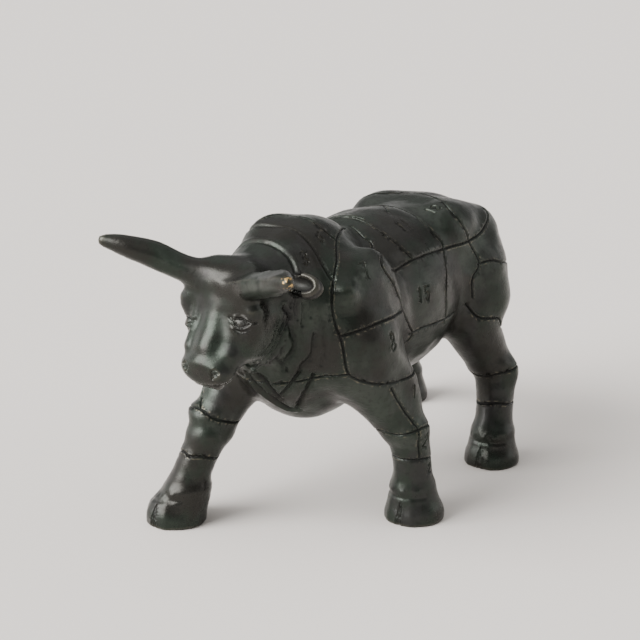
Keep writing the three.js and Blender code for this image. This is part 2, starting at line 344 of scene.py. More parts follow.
def leg(joints, sole):
    """A limb from the shoulder or thigh to the coronet, a little thicker at its knee, with the
    swelling above the hoof, and the hoof as a bone that widens down to the sole."""
    knee, coronet = joints[2], joints[-1]
    x, y, _ = coronet[0]
    whole = blend(
        limb(joints),
        (6, ball(knee[0], (knee[1] + 0.9, knee[1] + 0.9, 9))),
        (5, bone((*sole, 3), SOLE, (x, y, COLLAR), coronet[1])),
        (4, ball((x, y, COLLAR + 2), (coronet[1] + 0.6, coronet[1] + 0.6, 5))),
    )
    rows = np.array([place for place, _ in joints] + [(*sole, 0)])
    return within(whole, rows.min(0) - 58, rows.max(0) + 58)


FRONT_LEFT = [
    ((42, 10, 120), 25),
    ((50, 20, 88), 17.5),
    ((60.8, 34.2, 62), 13.6),
    ((62.4, 40.4, 40), 12.4),
    ((62, 43, 18), 13),
]
FRONT_RIGHT = [
    ((-34, 5, 112), 25),
    ((-35, -16, 84), 17.5),
    ((-40, -30, 58), 13),
    ((-46.5, -38, 37), 12),
    ((-50, -41, 20), 13.4),
]
HIND_LEFT = [
    ((31, 158, 130), 27.5),
    ((39, 150, 98), 20),
    ((49, 161, 68), 14),
    ((53, 161, 50), 13),
    ((55, 158, 34), 13),
    ((56, 155, 18), 13.5),
]
HIND_RIGHT = [
    ((-31, 161, 130), 27.5),
    ((-43, 177, 96), 20),
    ((-54, 210, 70), 14),
    ((-58, 219, 50), 12.5),
    ((-61, 226, 32), 12.5),
    ((-62, 228, 18), 13),
]
SOLES = [(62.7, 44), (-56.5, -45), (56, 154), (-62.5, 229)]
LEFT_FOREARM = [
    ((51, 25, 104), 15),
    ((56.5, 31.5, 92), 12.5),
    ((59, 35, 80), 11.5),
    ((59.5, 36, 68), 11.5),
]

legs = blend(
    leg(FRONT_LEFT, SOLES[0]),
    (1, leg(FRONT_RIGHT, SOLES[1])),
    (1, leg(HIND_LEFT, SOLES[2])),
    (1, leg(HIND_RIGHT, SOLES[3])),
    (8, ball((48, 162, 113), (12, 13, 15))),  # backs of the thighs
    (8, ball((-49, 178, 108), (11, 13, 15))),
    (4, limb(LEFT_FOREARM)),  # its back, down from the elbow
    (5, ball((-41.5, -27.5, 70), (14.6, 14.6, 8))),  # right knee
    (6, ball((61, 166, 61), (6, 6, 9))),  # hocks
    (6, ball((-54, 218, 68), (7, 7, 9))),
)

# Tail
# The tail hangs from the croup, lies against the back of the left thigh and ends in a thicker
# tuft. It was laid on the thigh as a roll of wax and is one with it in the cast.

tail = limb(
    [
        ((0, 184, 160), 7),
        ((5, 193, 142), 6),
        ((14, 187, 126), 5.5),
        ((22, 178, 111), 5.5),
        ((27, 171, 96), 5.5),
        ((33, 173, 79), 6.5),
        ((39, 175, 65), 5),
    ]
)

# Whole cast
# The modelled parts run into each other with rounded joins. The bronze keeps the slight marks of
# the modeller's hands and comes out a little smaller than the wax.

SHRINKAGE = 0.4

whole = blend(
    within(trunk, (-100, -90, 15), (100, 250, 230)), (16, neck), (12, legs), (5, tail), (6, head)
)


def hand_marks(p):
    """Slight hollows and swells left by modelling: waves in several directions, 9 to 34 mm
    long, that add up to a few tenths of a millimetre."""
    rng = np.random.default_rng(5)
    marks = np.zeros(len(p), np.float32)
    for length in (34, 29, 24, 20, 17, 14, 12, 10.5, 9):
        way = rng.normal(size=3)
        way *= 2 * np.pi / length / np.linalg.norm(way)
        marks += 0.0055 * length * np.sin(p @ way.astype(np.float32) + rng.uniform(0, 6.28))
    return marks


def cast(p):
    """The whole bull with the modeller's marks, a little smaller than the wax as the bronze
    shrinks, cut flat at the floor."""
    distance = whole(p) + hand_marks(p) + SHRINKAGE
    return -smooth_min(-distance, p[:, 2], 1.6)


# Skin of the casting
# The surface is where the distance is nothing. A lattice finds it roughly, and then its
# triangles are halved until they are fine enough for the face and for what is cut in.

CELL = 3.1  # width of the lattice's cells
ROOM = np.array(((-100, -130, -8), (100, 270, 212)), np.float32)  # its lowest and highest corner


def lattice_values(form, step, coarse=3):
    """Distances on a lattice through the room, worked out only at the nodes near the surface
    that a coarser lattice finds."""
    axes = [np.arange(low, high, step, dtype=np.float32) for low, high in ROOM.T]
    nodes = np.stack(np.meshgrid(*axes, indexing="ij"), -1)
    rough_nodes = nodes[::coarse, ::coarse, ::coarse]
    rough = form(rough_nodes.reshape(-1, 3)).reshape(rough_nodes.shape[:3])
    near = np.abs(rough) < 2.2 * step * coarse
    grown = near.copy()
    for axis in range(3):
        grown |= np.roll(near, 1, axis) | np.roll(near, -1, axis)

    def spread(values):
        for axis in range(3):
            values = np.repeat(values, coarse, axis)
        return values[: nodes.shape[0], : nodes.shape[1], : nodes.shape[2]]

    values = spread(rough).astype(np.float32)
    values = np.where(values > 0, np.maximum(values, step), np.minimum(values, -step))
    wanted = spread(grown)
    values[wanted] = form(nodes[wanted])
    return values, nodes


def skin(values, nodes):
    """One corner in each cell of the lattice that the surface crosses, at the mean of where it
    crosses the cell's edges, and one face of four corners around each crossed lattice edge."""
    inside = values < 0
    offsets = np.array([(i, j, k) for i in (0, 1) for j in (0, 1) for k in (0, 1)])
    nx, ny, nz = values.shape
    count = sum(
        inside[i : nx - 1 + i, j : ny - 1 + j, k : nz - 1 + k].astype(np.int8)
        for i, j, k in offsets
    )
    cells = np.argwhere((count > 0) & (count < 8))
    number = np.full(count.shape, -1)
    number[tuple(cells.T)] = np.arange(len(cells))
    around = cells[:, None] + offsets
    value = values[tuple(np.moveaxis(around, -1, 0))]
    place = nodes[tuple(np.moveaxis(around, -1, 0))]
    total = np.zeros((len(cells), 3))
    crossings = np.zeros(len(cells))
    for a, b in [(a, a | bit) for bit in (1, 2, 4) for a in range(8) if not a & bit]:
        crossed = (value[:, a] < 0) != (value[:, b] < 0)
        share = value[:, a] / np.where(crossed, value[:, a] - value[:, b], 1)
        crossing = place[:, a] + share[:, None] * (place[:, b] - place[:, a])
        total += np.where(crossed[:, None], crossing, 0)
        crossings += crossed
    corners = total / crossings[:, None]

    faces = []
    for axis in range(3):
        across, up = (axis + 1) % 3, (axis + 2) % 3
        low = np.take(inside, range(values.shape[axis] - 1), axis)
        high = np.take(inside, range(1, values.shape[axis]), axis)
        edges = np.argwhere(low != high)
        leaving = low[tuple(edges.T)]
        ring = []
        for back_across, back_up in ((1, 1), (0, 1), (0, 0), (1, 0)):
            cell = edges.copy()
            cell[:, across] -= back_across
            cell[:, up] -= back_up
            ring.append(number[tuple(cell.T)])
        ring = np.stack(ring, 1)
        ring[~leaving] = ring[~leaving][:, ::-1]
        faces.append(ring)
    a, b, c, d = np.concatenate(faces).T
    first = np.linalg.norm(corners[a] - corners[c], axis=1)
    second = np.linalg.norm(corners[b] - corners[d], axis=1)
    short = (first <= second)[:, None]
    upper = np.where(short, np.stack([a, b, c], 1), np.stack([a, b, d], 1))
    lower = np.where(short, np.stack([a, c, d], 1), np.stack([b, c, d], 1))
    return corners.astype(np.float32), np.concatenate([upper, lower])


def slope(form, places, step=0.12):
    """Rise of a distance along X, Y and Z, which points straight out of the surface."""
    rises = []
    for move in np.eye(3, dtype=np.float32) * step:
        rises.append((form(places + move) - form(places - move)) / (2 * step))
    return np.stack(rises, 1)


def settle(form, places, times):
    """Places moved straight in or out onto the surface."""
    for _ in range(times):
        rise = slope(form, places)
        off = form(places) / np.maximum((rise * rise).sum(1), 1e-3)
        places = places - np.clip(off, -2, 2)[:, None] * rise
    return places


def halve(places, faces, wanted):
    """Every edge longer than wanted at its middle is halved, and each triangle is cut in two,
    three or four through the new middles."""
    pairs = np.sort(faces[:, [[0, 1], [1, 2], [2, 0]]].reshape(-1, 2), axis=1)
    edges, of_face = np.unique(pairs, axis=0, return_inverse=True)
    of_face = of_face.reshape(-1, 3)
    ends = places[edges]
    middles = ends.mean(1)
    split = np.linalg.norm(ends[:, 0] - ends[:, 1], axis=1) > wanted(middles)
    number = np.full(len(edges), -1)
    number[split] = len(places) + np.arange(split.sum())
    middle = number[of_face]
    count = (middle >= 0).sum(1)
    turns = np.array([[0, 1, 2], [1, 2, 0], [2, 0, 1]])
    lead = np.where(count == 1, (middle >= 0).argmax(1), (middle < 0).argmax(1))
    order = turns[np.where((count == 1) | (count == 2), lead, 0)]
    a, b, c = np.take_along_axis(faces, order, 1).T
    ab, bc, ca = np.take_along_axis(middle, order, 1).T
    one, two, three = count == 1, count == 2, count == 3
    new = [faces[count == 0]]
    for chosen, triangles in (
        (one, ((a, ab, c), (ab, b, c))),
        (two, ((c, ca, bc), (a, b, bc), (a, bc, ca))),
        (three, ((a, ab, ca), (ab, b, bc), (ca, bc, c), (ab, bc, ca))),
    ):
        new += [np.stack(triangle, 1)[chosen] for triangle in triangles]
    return np.concatenate([places, middles[split]]), np.concatenate(new)


places, faces = skin(*lattice_values(cast, CELL))
places = settle(cast, places, 2)

# Butcher's lines
# Grooves mark the cuts of meat over the whole hide, with a numeral in most fields. They are
# tooled into the wax with a point that throws up a slight lip on both sides.

LINE_DEPTH = 0.85
LINE_WIDTH = 0.64  # half the width of the groove, as for every stroke
LIP = 0.16  # height of the lips for each millimetre of depth


def smooth_path(points, spacing=0.4):
    """Places evenly along the Catmull-Rom curve through a few points."""
    rows = course([(point, 0) for point in points], 24)[:, :3]
    lengths = np.r_[0, np.cumsum(np.linalg.norm(np.diff(rows, axis=0), axis=1))]
    at = np.linspace(0, lengths[-1], max(2, int(lengths[-1] / spacing)))
    return np.stack([np.interp(at, lengths, rows[:, axis]) for axis in range(3)], 1)


LEFT_LINES = [
    # shoulder: its front edge, under it, and its rear edge
    [(9, 45, 179), (27, 11, 183), (38, -6, 173), (41, -14, 164), (43, -19, 152), (46, -19, 138),
     (49, -17, 128), (51, -16, 114), (51, -12, 107), (56, -6, 102), (64, 4, 99), (67, 17, 98)],
    [(67, 17, 98), (64, 38, 98), (55, 50, 104), (50, 60, 112), (52, 55, 120), (57, 40, 136),
     (57, 29, 155), (51, 23, 169), (27, 49, 169), (19, 50, 174), (8, 53, 178)],
    [(49, -17, 132), (57, -8, 135), (61, 0, 137), (61, 23, 137), (57, 40, 135)],
    # loin, flank and rump
    [(-11, 90, 181), (1, 102, 181), (15, 108, 177), (28, 107, 172), (36, 108, 165), (41, 110, 158),
     (48, 102, 147), (52, 96, 133), (50, 97, 111)],
    [(32, 174, 168), (37, 170, 164), (44, 152, 159), (44, 132, 156), (42, 106, 157), (43, 70, 158),
     (52, 34, 161)],
    [(-30, 129, 178), (-20, 138, 180), (-6, 147, 180), (8, 146, 180), (33, 130, 177),
     (44, 134, 162), (49, 140, 146), (51, 139, 139), (49, 134, 132), (50, 133, 120)],
    [(50, 139, 141), (54, 149, 142), (57, 164, 138), (48, 186, 134)],
    [(47, 129, 116), (51, 134, 108), (55, 138, 105), (59, 153, 102), (57, 160, 94),
     (48, 172, 92)],
    [(49, 57, 114), (52, 75, 115), (51, 100, 114), (49, 118, 114)],
    # hind leg
    [(36, 147, 62), (47, 147, 61), (56, 149, 62), (60, 153, 64), (64, 163, 65), (58, 176, 66)],
    [(40, 152, 42), (48, 147, 42), (61, 149, 44), (67, 159, 42), (60, 171, 42)],
    # foreleg
    [(66, 11, 95), (67, 19, 82), (67, 28, 69), (68, 31, 62), (69, 33, 54), (71, 34, 46)],
    [(46, 24, 64), (55, 15, 64), (64, 20, 63), (69, 31, 63), (64, 43, 62), (54, 44, 62)],
    [(49, 32, 43), (57, 26, 44), (67, 28, 44), (72, 36, 44), (71, 46, 42), (60, 52, 42),
     (50, 44, 42)],
]
RIGHT_LINES = [
    [(-9, 45, 179), (-27, 8, 182), (-38, -8, 172), (-42, -18, 150), (-44, -20, 134),
     (-46, -18, 116), (-47, -10, 104), (-52, 6, 98), (-52, 26, 98)],
    [(-52, 26, 98), (-46, 42, 106), (-50, 44, 120), (-53, 34, 136), (-52, 24, 154),
     (-44, 24, 168), (-26, 42, 172), (-9, 50, 179)],
    [(-44, -18, 130), (-52, -4, 133), (-54, 12, 134), (-53, 32, 132)],
    [(11, 90, 181), (-1, 102, 181), (-15, 108, 177), (-28, 107, 172), (-36, 108, 165),
     (-41, 110, 158), (-48, 102, 147), (-52, 96, 133), (-50, 97, 111)],
    [(-32, 174, 168), (-37, 170, 164), (-44, 152, 159), (-44, 132, 156), (-42, 106, 157),
     (-43, 70, 158), (-50, 34, 161)],
    [(-30, 129, 178), (-44, 134, 162), (-49, 140, 146), (-51, 139, 139), (-49, 134, 132),
     (-50, 133, 120)],
    [(-50, 139, 141), (-54, 155, 140), (-56, 176, 134), (-48, 188, 130)],
    [(-47, 132, 112), (-52, 146, 104), (-57, 164, 100), (-60, 182, 96), (-52, 194, 92)],
    [(-49, 57, 114), (-52, 75, 115), (-51, 100, 114), (-49, 118, 114)],
    # hind leg
    [(-42, 206, 68), (-50, 197, 68), (-62, 201, 70), (-68, 212, 70), (-60, 224, 70)],
    [(-50, 214, 42), (-58, 209, 42), (-68, 214, 42), (-73, 224, 42), (-66, 236, 42)],
    # foreleg
    [(-55, -28, 71), (-50, -36, 73), (-44, -37, 73.5), (-36, -38, 72.5), (-30, -37, 70),
     (-25, -32, 67.5), (-23, -23, 65)],
    [(-58, -40, 46), (-54, -46, 47), (-48, -47, 48), (-43, -48, 46), (-36, -44, 46),
     (-33, -32, 43)],
    [(-45, -31, 86), (-40, -37, 73)],
]
MIDDLE_LINES = [
    # top of the neck
    [(-15, -9, 186), (-5, 0, 193), (11, 3, 193), (21, 3, 188), (29, 7, 182)],
    # across the chest
    [(51, -13, 107), (35, -21, 105), (20, -28, 104), (2, -34, 103), (-20, -26, 104),
     (-36, -18, 106)],
    # back and barrel
    [(-8, 64, 180), (25, 64, 173), (42, 70, 159)],
    [(8, 66, 180), (-25, 66, 173), (-42, 72, 159)],
]

DIGITS = {
    # strokes across and up, in heights of the digit, before it is narrowed
    "1": [[(0.3, 0.8), (0.5, 1), (0.5, 0)]],
    "2": [[(0.2, 0.8), (0.5, 1), (0.8, 0.75), (0.5, 0.35), (0.2, 0)], [(0.2, 0), (0.85, 0)]],
    "3": [[(0.2, 0.9), (0.5, 1), (0.8, 0.77), (0.5, 0.53)],
          [(0.5, 0.53), (0.85, 0.27), (0.5, 0), (0.15, 0.1)]],
    "4": [[(0.7, 0), (0.7, 1), (0.15, 0.35), (0.9, 0.35)]],
    "5": [[(0.8, 1), (0.25, 1)], [(0.25, 1), (0.22, 0.55)],
          [(0.22, 0.55), (0.6, 0.62), (0.82, 0.3), (0.55, 0), (0.18, 0.08)]],
    "6": [[(0.7, 1), (0.3, 0.65), (0.2, 0.3), (0.5, 0), (0.8, 0.25), (0.5, 0.5), (0.22, 0.3)]],
    "7": [[(0.15, 1), (0.8, 1)], [(0.8, 1), (0.5, 0.5), (0.4, 0)]],
    "8": [[(0.5, 0.54), (0.25, 0.76), (0.5, 1), (0.75, 0.76), (0.5, 0.54), (0.18, 0.26), (0.5, 0),
           (0.82, 0.26), (0.5, 0.54)]],
}
DIGIT_WIDTH = 0.62  # for each unit across
DIGIT_PITCH = 0.75  # from one digit to the next, in heights
NUMERAL_DEPTH = 0.7
NUMERAL_WIDTH = 0.5
NUMERALS = [
    # what it reads, where, which way is up, how tall: on the left and then on the right
    ("3", (27, -22, 177), (0, 0.1, 1), 9),
    ("6", (24, -3, 185), (0, 0.1, 1), 8),
    ("7", (50, 7, 167), (0, -0.1, 1), 10),
    ("8", (66, 12, 124), (0, 0, 1), 11),
    ("15", (51, 71, 137), (0, 0, 1), 8.5),
    ("11", (26, 86, 174), (-0.5, 0, 0.6), 7),
    ("12", (24, 124, 178), (-0.6, 0, 0.4), 7),
    ("1", (68, 32, 88), (0, 0.1, 1), 7),
    ("2", (75, 36, 56), (0, 0.1, 1), 9),
    ("2", (74, 42, 36), (0, 0, 1), 6),
    ("7", (-52, 5, 160), (0, 0, 1), 9),
    ("8", (-54, 10, 118), (0, 0, 1), 9),
    ("5", (-53, 69, 138), (0, 0, 1), 8),
    ("11", (-27, 86, 174), (0.5, 0, 0.6), 6),
    ("14", (-56, 160, 120), (0, 0, 1), 7),
]


def numeral_strokes(text, place, up, height):
    """Strokes of a numeral laid on the surface: across and up run along it at that place."""
    middle = settle(cast, np.array([place], np.float32), 3)
    out = slope(cast, middle)[0]
    out /= np.linalg.norm(out)
    up = np.array(up, float)
    up -= (up @ out) * out
    up /= np.linalg.norm(up)
    across = np.cross(up, out)
    strokes = []
    for i, digit in enumerate(text):
        shift = (i - len(text) / 2) * DIGIT_PITCH
        for stroke in DIGITS[digit]:
            flat = np.array(stroke) * (DIGIT_WIDTH, 1) + (shift, -0.5)
            strokes.append(middle[0] + height * (flat[:, :1] * across + flat[:, 1:] * up))
    return strokes


# Folds, creases and clefts
# Softer and wider strokes: the folds of the throat and neck, the mouth, the lids, and the cleft in
# front of each hoof. A stroke of less than no depth is a ridge of wax that is laid on.

THROAT = 3  # the folds on the right mirror the left ones in a plane this far to the left

LEFT_FOLDS = [
    # depth, half width, places: down the throat and the side of the neck
    (1.2, 0.9, [(28, -44, 149), (27, -45, 144), (27, -49, 139), (26, -51, 135), (25, -53, 129),
                (21, -56, 124), (6, -44, 113), (1, -43, 110)]),
    (-0.7, 0.9, [(28, -44, 148), (27, -45, 142), (27, -49, 138), (26, -51, 132), (24, -51, 126),
                 (20, -53, 121), (6, -43, 111), (0, -41, 107)]),
    (1.8, 1.6, [(28, -44, 152), (29, -41, 146), (27, -45, 137), (27, -47, 132), (25, -49, 128),
                (23, -50, 124)]),
    (0.7, 0.7, [(26, -53, 141), (25, -55, 135), (23, -58, 130), (20, -57, 123), (5, -44, 113)]),
    (0.8, 1.2, [(30, -40, 158), (30, -40, 156), (30, -41, 152)]),
    (1.0, 1.3, [(31, -37, 156), (31, -38, 150), (32, -37, 144)]),
    (1.0, 1.3, [(34, -34, 153), (34, -34, 146), (33, -34, 140)]),
    (0.8, 1.3, [(35, -30, 155), (36, -30, 150), (36, -30, 145)]),
    (1.5, 1.7, [(29, -41, 142), (29, -38, 135), (30, -36, 128), (27, -36, 122), (23, -38, 116),
                (21, -37, 111)]),
    (1.4, 1.6, [(37, -27, 133), (36, -27, 125), (34, -27, 119), (31, -30, 114), (29, -30, 111)]),
    (1.1, 1.6, [(41, -23, 141), (41, -23, 130), (40, -22, 122), (38, -22, 114)]),
    (0.7, 1.2, [(43, -21, 150), (43, -21, 142)]),
    (1.6, 1.5, [(20, -46, 119), (21, -39, 116), (23, -36, 111)]),
]
MIDDLE_FOLDS = [
    # over the neck, behind the head and in front of the shoulders
    (1.0, 1.2, [(-26, -30, 166), (-16, -28, 178), (4, -31, 185), (14, -31, 182), (22, -31, 177),
                (36, -37, 172)]),
    (-0.5, 1.3, [(-26, -27, 167), (-16, -25, 180), (4, -28, 187), (14, -28, 184),
                 (22, -28, 179), (36, -34, 173)]),
    (1.0, 1.2, [(-24, -12, 182), (-8, -16, 190), (9, -14, 191), (20, -13, 187), (28, -13, 179),
                (36, -14, 170), (41, -14, 164)]),
    (-0.5, 1.3, [(9, -17, 190), (20, -16, 186), (28, -16, 178), (36, -17, 169), (41, -17, 163)]),
    # down the dewlap and from the chest into it
    (2.2, 1.5, [(-3, -40, 105), (1, -37, 99), (4, -35, 94), (8, -30, 89), (10, -25, 83),
                (12, -19, 79), (16, -16, 79)]),
    (-1.2, 1.5, [(-5, -40, 102), (-1, -37, 96), (2, -34, 91), (6, -30, 86), (8, -25, 81),
                 (11, -19, 77)]),
    (2.2, 1.8, [(5, -41, 106), (8, -39, 103), (10, -36, 97), (12, -29, 89)]),
    (1.8, 1.1, [(29, -31, 109), (20, -31, 98), (11, -29, 89)]),
    (1.8, 1.1, [(33, -23, 107), (26, -22, 94), (17, -18, 81)]),
]
EYE_STROKES = [
    # along the eye from its middle and up the face from it: upper lid
    (0.75, 0.5, [(-5.6, 0.1), (-2.9, 1.8), (1.7, 1.3), (5.6, 0.2), (8, 0.6)]),
    (-0.35, 0.9, [(-4.6, 2.4), (-2.4, 3.6), (1.8, 3.1), (5.2, 1.9)]),
    # lower lid
    (0.5, 0.45, [(-5.2, -0.4), (-2.7, -2.3), (-0.4, -3.2), (2.4, -2.1), (5.4, -0.1)]),
    (-0.55, 0.75, [(-5.4, -2), (-4.4, -3.6), (-2, -4.6), (0.3, -4.4), (2.6, -3.6), (5.2, -1.7)]),
    (0.4, 0.7, [(-4, -5.4), (-1, -6.2), (2, -5.6), (4.6, -4.2)]),
    # inner corner, and the mark of the gaze on the eyeball
    (-0.3, 1, [(-6.4, -4.6), (-4.6, -6.6), (-2.4, -7.8)]),
    (0.6, 0.9, [(-8.4, 1.4), (-6.2, 0.4)]),
    (0.3, 0.4, [(1.4, 0.7), (2.3, -0.6), (2.6, -1.6)]),
]
HEAD_STROKES = [
    # in the head's axes: mouth, from its right corner round to the left one and along the jaw
    (1.3, 0.8, [(-18, 57, -21), (-16, 63.5, -17.5), (-9, 68.2, -15.6), (0, 69.4, -15),
                (9, 68.2, -15.6), (16, 63.5, -17.5), (18, 57, -21), (16.5, 51, -27),
                (15, 46, -36)]),
    # nostrils
    (1.0, 0.75, [(9.8, 65, -10), (9.6, 62.6, -7.8), (11.2, 61, -7.6), (13, 61.4, -9)]),
    (1.0, 0.75, [(-9.8, 65, -10), (-9.6, 62.6, -7.8), (-11.2, 61, -7.6), (-13, 61.4, -9)]),
]

HOOF_STROKES = [
    # depth, half width, places from the middle of the sole: the cleft and its edges, two claws
    (1.1, 1.0, [(0, -19.5, -2), (0, -17.5, 6), (0, -15.5, 11)]),
    (0.8, 0.55, [(-2.6, -19.3, -2), (-1.3, -17.3, 6), (0, -14.2, 14)]),
    (0.8, 0.55, [(2.2, -19.3, -2), (1.2, -17.3, 6), (0, -14.2, 14)]),
    (-0.4, 2.6, [(-9, -16.5, -2), (-8.1, -15, 8), (-6.3, -12.5, 16)]),
    (-0.4, 2.6, [(8, -16.5, -2), (7.2, -15, 8), (5.6, -12.5, 16)]),
]
CLEFTS = [0, -3, 0, 0]  # how far each cleft is to the left of the middle of its sole
RING = 16  # radius of the shallow groove above the hoof
RING_HEIGHT = 18.2
BUMP_RISE = np.array((0, 0, 3.6))  # from that groove to the bumps of the coronet

strokes = LEFT_FOLDS + MIDDLE_FOLDS
for depth, width, points in LEFT_FOLDS:
    strokes.append((depth, width, [(2 * THROAT - x, y, z) for x, y, z in points]))
for depth, width, points in HEAD_STROKES:
    strokes.append((depth, width, on_head(points)))
for depth, width, points in EYE_STROKES:
    flat = np.array(points)
    near = EYE_MIDDLE + flat[:, :1] * EYE_LONG + flat[:, 1:] * EYE_TALL
    strokes.append((depth, width, on_head(near)))
    strokes.append((0.6 * depth, width, on_head(near * (-1, 1, 1) + FAR_EYE)))
turn = np.radians(np.linspace(-70, 60, 9))
ring = np.stack([RING * np.sin(turn), -RING * np.cos(turn), np.full(9, RING_HEIGHT)], 1)
for (x, y), aside in zip(SOLES, CLEFTS):
    toe = np.array((x + aside, y, 0))
    for depth, width, points in HOOF_STROKES:
        strokes.append((depth, width, toe + points))
    strokes.append((0.3, 1.2, toe + ring))
    for at in (1, 2, 4, 6):
        bump = (ring[at] + ring[at + 1]) / 2 + BUMP_RISE
        strokes.append((-0.4, 1.6, toe + [bump - (0.8, 0, 0), bump, bump + (0.8, 0, 0.2)]))
strokes = [(depth, width, smooth_path(points)) for depth, width, points in strokes]
modelled = len(strokes)  # the strokes from here on are tooled
for points in LEFT_LINES + RIGHT_LINES + MIDDLE_LINES:
    strokes.append((LINE_DEPTH, LINE_WIDTH, smooth_path(points)))
lines_end = len(strokes)  # and from here on, numerals
for numeral in NUMERALS:
    for points in numeral_strokes(*numeral):
        strokes.append((NUMERAL_DEPTH, NUMERAL_WIDTH, smooth_path(points, 0.25)))

paths = settle(cast, np.concatenate([path for _, _, path in strokes]).astype(np.float32), 6)
starts = np.cumsum([0] + [len(path) for _, _, path in strokes])
strokes = [
    (depth, width, paths[start:end])
    for (depth, width, _), start, end in zip(strokes, starts[:-1], starts[1:])
]


def nearest(p, path, reach):
    """How far each place is from a path and the way from it, for those places within reach."""
    low, high = path.min(0) - reach, path.max(0) + reach
    near = np.flatnonzero(((p > low) & (p < high)).all(1))
    gap = np.full(len(near), np.inf, np.float32)
    away = np.zeros((len(near), 3), np.float32)
    for at in range(0, len(near), 20000):
        part = p[near[at : at + 20000]]
        square = (
            (part * part).sum(1)[:, None] + (path * path).sum(1)[None] - 2 * part @ path.T
        )
        closest = square.argmin(1)
        away[at : at + 20000] = part - path[closest]
        gap[at : at + 20000] = np.linalg.norm(away[at : at + 20000], axis=1)
    return near, gap, away


def fineness(p):
    """Longest edge wanted at each place: short on the head and round the soles, shorter on the
    ears, and shortest along what is cut in."""
    q = (p - HEAD_TOP) @ HEAD_AXES.T
    face_way = np.linalg.norm((q - (0, 35, -18)) / (1.1, 1.3, 1), axis=1)
    ear_way = np.linalg.norm((np.abs(q[:, 0]) - 36, q[:, 1] - 0.5, q[:, 2] + 30), axis=0)
    wanted = np.where(face_way < 32, 2, 4).astype(np.float32)
    wanted = np.where(ear_way < 14, 1.4, wanted)
    wanted = np.where(p[:, 2] < 3, np.minimum(wanted, 2), wanted)
    for _, width, path in strokes:
        near, gap, _ = nearest(p, path, 3 * width)
        close = np.where(gap < 1.6 * width, 0.9 * width, 2.5 * width)
        close = np.where(gap < 2.8 * width, close, 9)
        wanted[near] = np.minimum(wanted[near], close)
    return wanted


for _ in range(3):
    before = len(places)
    places, faces = halve(places, faces, fineness)
    places[before:] = settle(cast, places[before:], 1)


def pressed(p, chosen, lip):
    """How deep each place is pressed in by strokes of (depth, half width, path), each with a
    slight lip along both sides, and the rise of that depth along X, Y and Z."""
    deep = np.zeros(len(p), np.float32)
    rise = np.zeros_like(p)
    for depth, width, path in chosen:
        near, gap, away = nearest(p, path, 4 * width)
        groove = depth * np.exp(-((gap / width) ** 2))
        beside = (gap - 2 * width) / (0.7 * width)
        edge = lip * depth * np.exp(-(beside**2))
        slant = -2 * gap / width**2 * groove + 2 * beside / (0.7 * width) * edge
        stronger = np.abs(groove - edge) > np.abs(deep[near])
        near, gap, away, slant = near[stronger], gap[stronger], away[stronger], slant[stronger]
        deep[near] = (groove - edge)[stronger]
        rise[near] = away / np.maximum(gap, 0.05)[:, None] * slant[:, None]
    return deep, rise


outward = slope(cast, places)
outward /= np.linalg.norm(outward, axis=1)[:, None]
cut, cut_rise = pressed(places, [stroke for stroke in strokes if stroke[0] > 0], LIP)
tooled, _ = pressed(places, strokes[modelled:lines_end], LIP)
numbered, _ = pressed(places, strokes[lines_end:], LIP)
laid, laid_rise = pressed(
    places, [(-depth, width, path) for depth, width, path in strokes if depth < 0], 0
)
shaped = places + (laid - cut)[:, None] * outward
shaped[:, 2] = np.maximum(shaped[:, 2], 0)
tilt = cut_rise - laid_rise
normals = outward + tilt - (tilt * outward).sum(1)[:, None] * outward
normals /= np.linalg.norm(normals, axis=1)[:, None]

MIDDLE = np.array((0.14, 74.22, 0))  # what stands over the part's origin

cast_mesh = bpy.data.meshes.new("bull_cast")
cast_mesh.from_pydata(((shaped - MIDDLE) / 1000).tolist(), [], faces.tolist())
cast_mesh.polygons.foreach_set("use_smooth", np.ones(len(faces), bool))
cast_mesh.normals_split_custom_set_from_vertices(normals.tolist())
bull = bpy.data.objects.new("bull_cast", cast_mesh)
bpy.context.scene.collection.objects.link(bull)

# Patina
# The bronze was coloured with acids over heat to a dark green-brown and waxed. Handling has
# polished the head and the hooves and rubbed the edges brighter, down to the metal at the left
# horn's tip, and the tooled grooves stay nearly black with patina. Shade is also painted into the
# colour: the folds, creases and hollows are painted darker, and the lips along the lines are
# painted lighter, as a highlight as well as wear.

GREEN = (0.016, 0.022, 0.0165, 1)
BROWN = (0.0175, 0.017, 0.0145, 1)
VIOLET = (0.025, 0.0222, 0.0235, 1)
DUSTY_GREEN = (0.034, 0.042, 0.034, 1)
SPECK = (0.01, 0.01, 0.009, 1)
RUBBED = (0.09, 0.085, 0.065, 1)
# lighter lips of the lines: rubbed metal, with a painted highlight along them
LIP_WEAR_AND_HIGHLIGHT = (0.15, 0.135, 0.095, 1)
# near black: the patina left in the tooled lines, and painted shade in the folds, creases and
# hollows
GROOVE_PATINA_AND_SHADE = (0.005, 0.005, 0.005, 1)
BARE_METAL = (0.42, 0.27, 0.1, 1)
SHARP = 0.36  # the bulge at which the surface counts as an edge


def bulge(form, places, span=1.6):
    """How sharply the surface is rounded outwards at each place: two over the radius of a ball."""
    middle = 6 * form(places)
    moves = np.eye(3, dtype=np.float32) * span
    sides = [form(places + move) + form(places - move) for move in moves]
    return (sum(sides) - middle) / span**2


def keep(mesh, name, values):
    """Values at the corners of the mesh, under a name that the material reads."""
    layer = mesh.attributes.new(name, "FLOAT", "POINT")
    layer.data.foreach_set("value", np.clip(values, 0, 1).astype(np.float32))


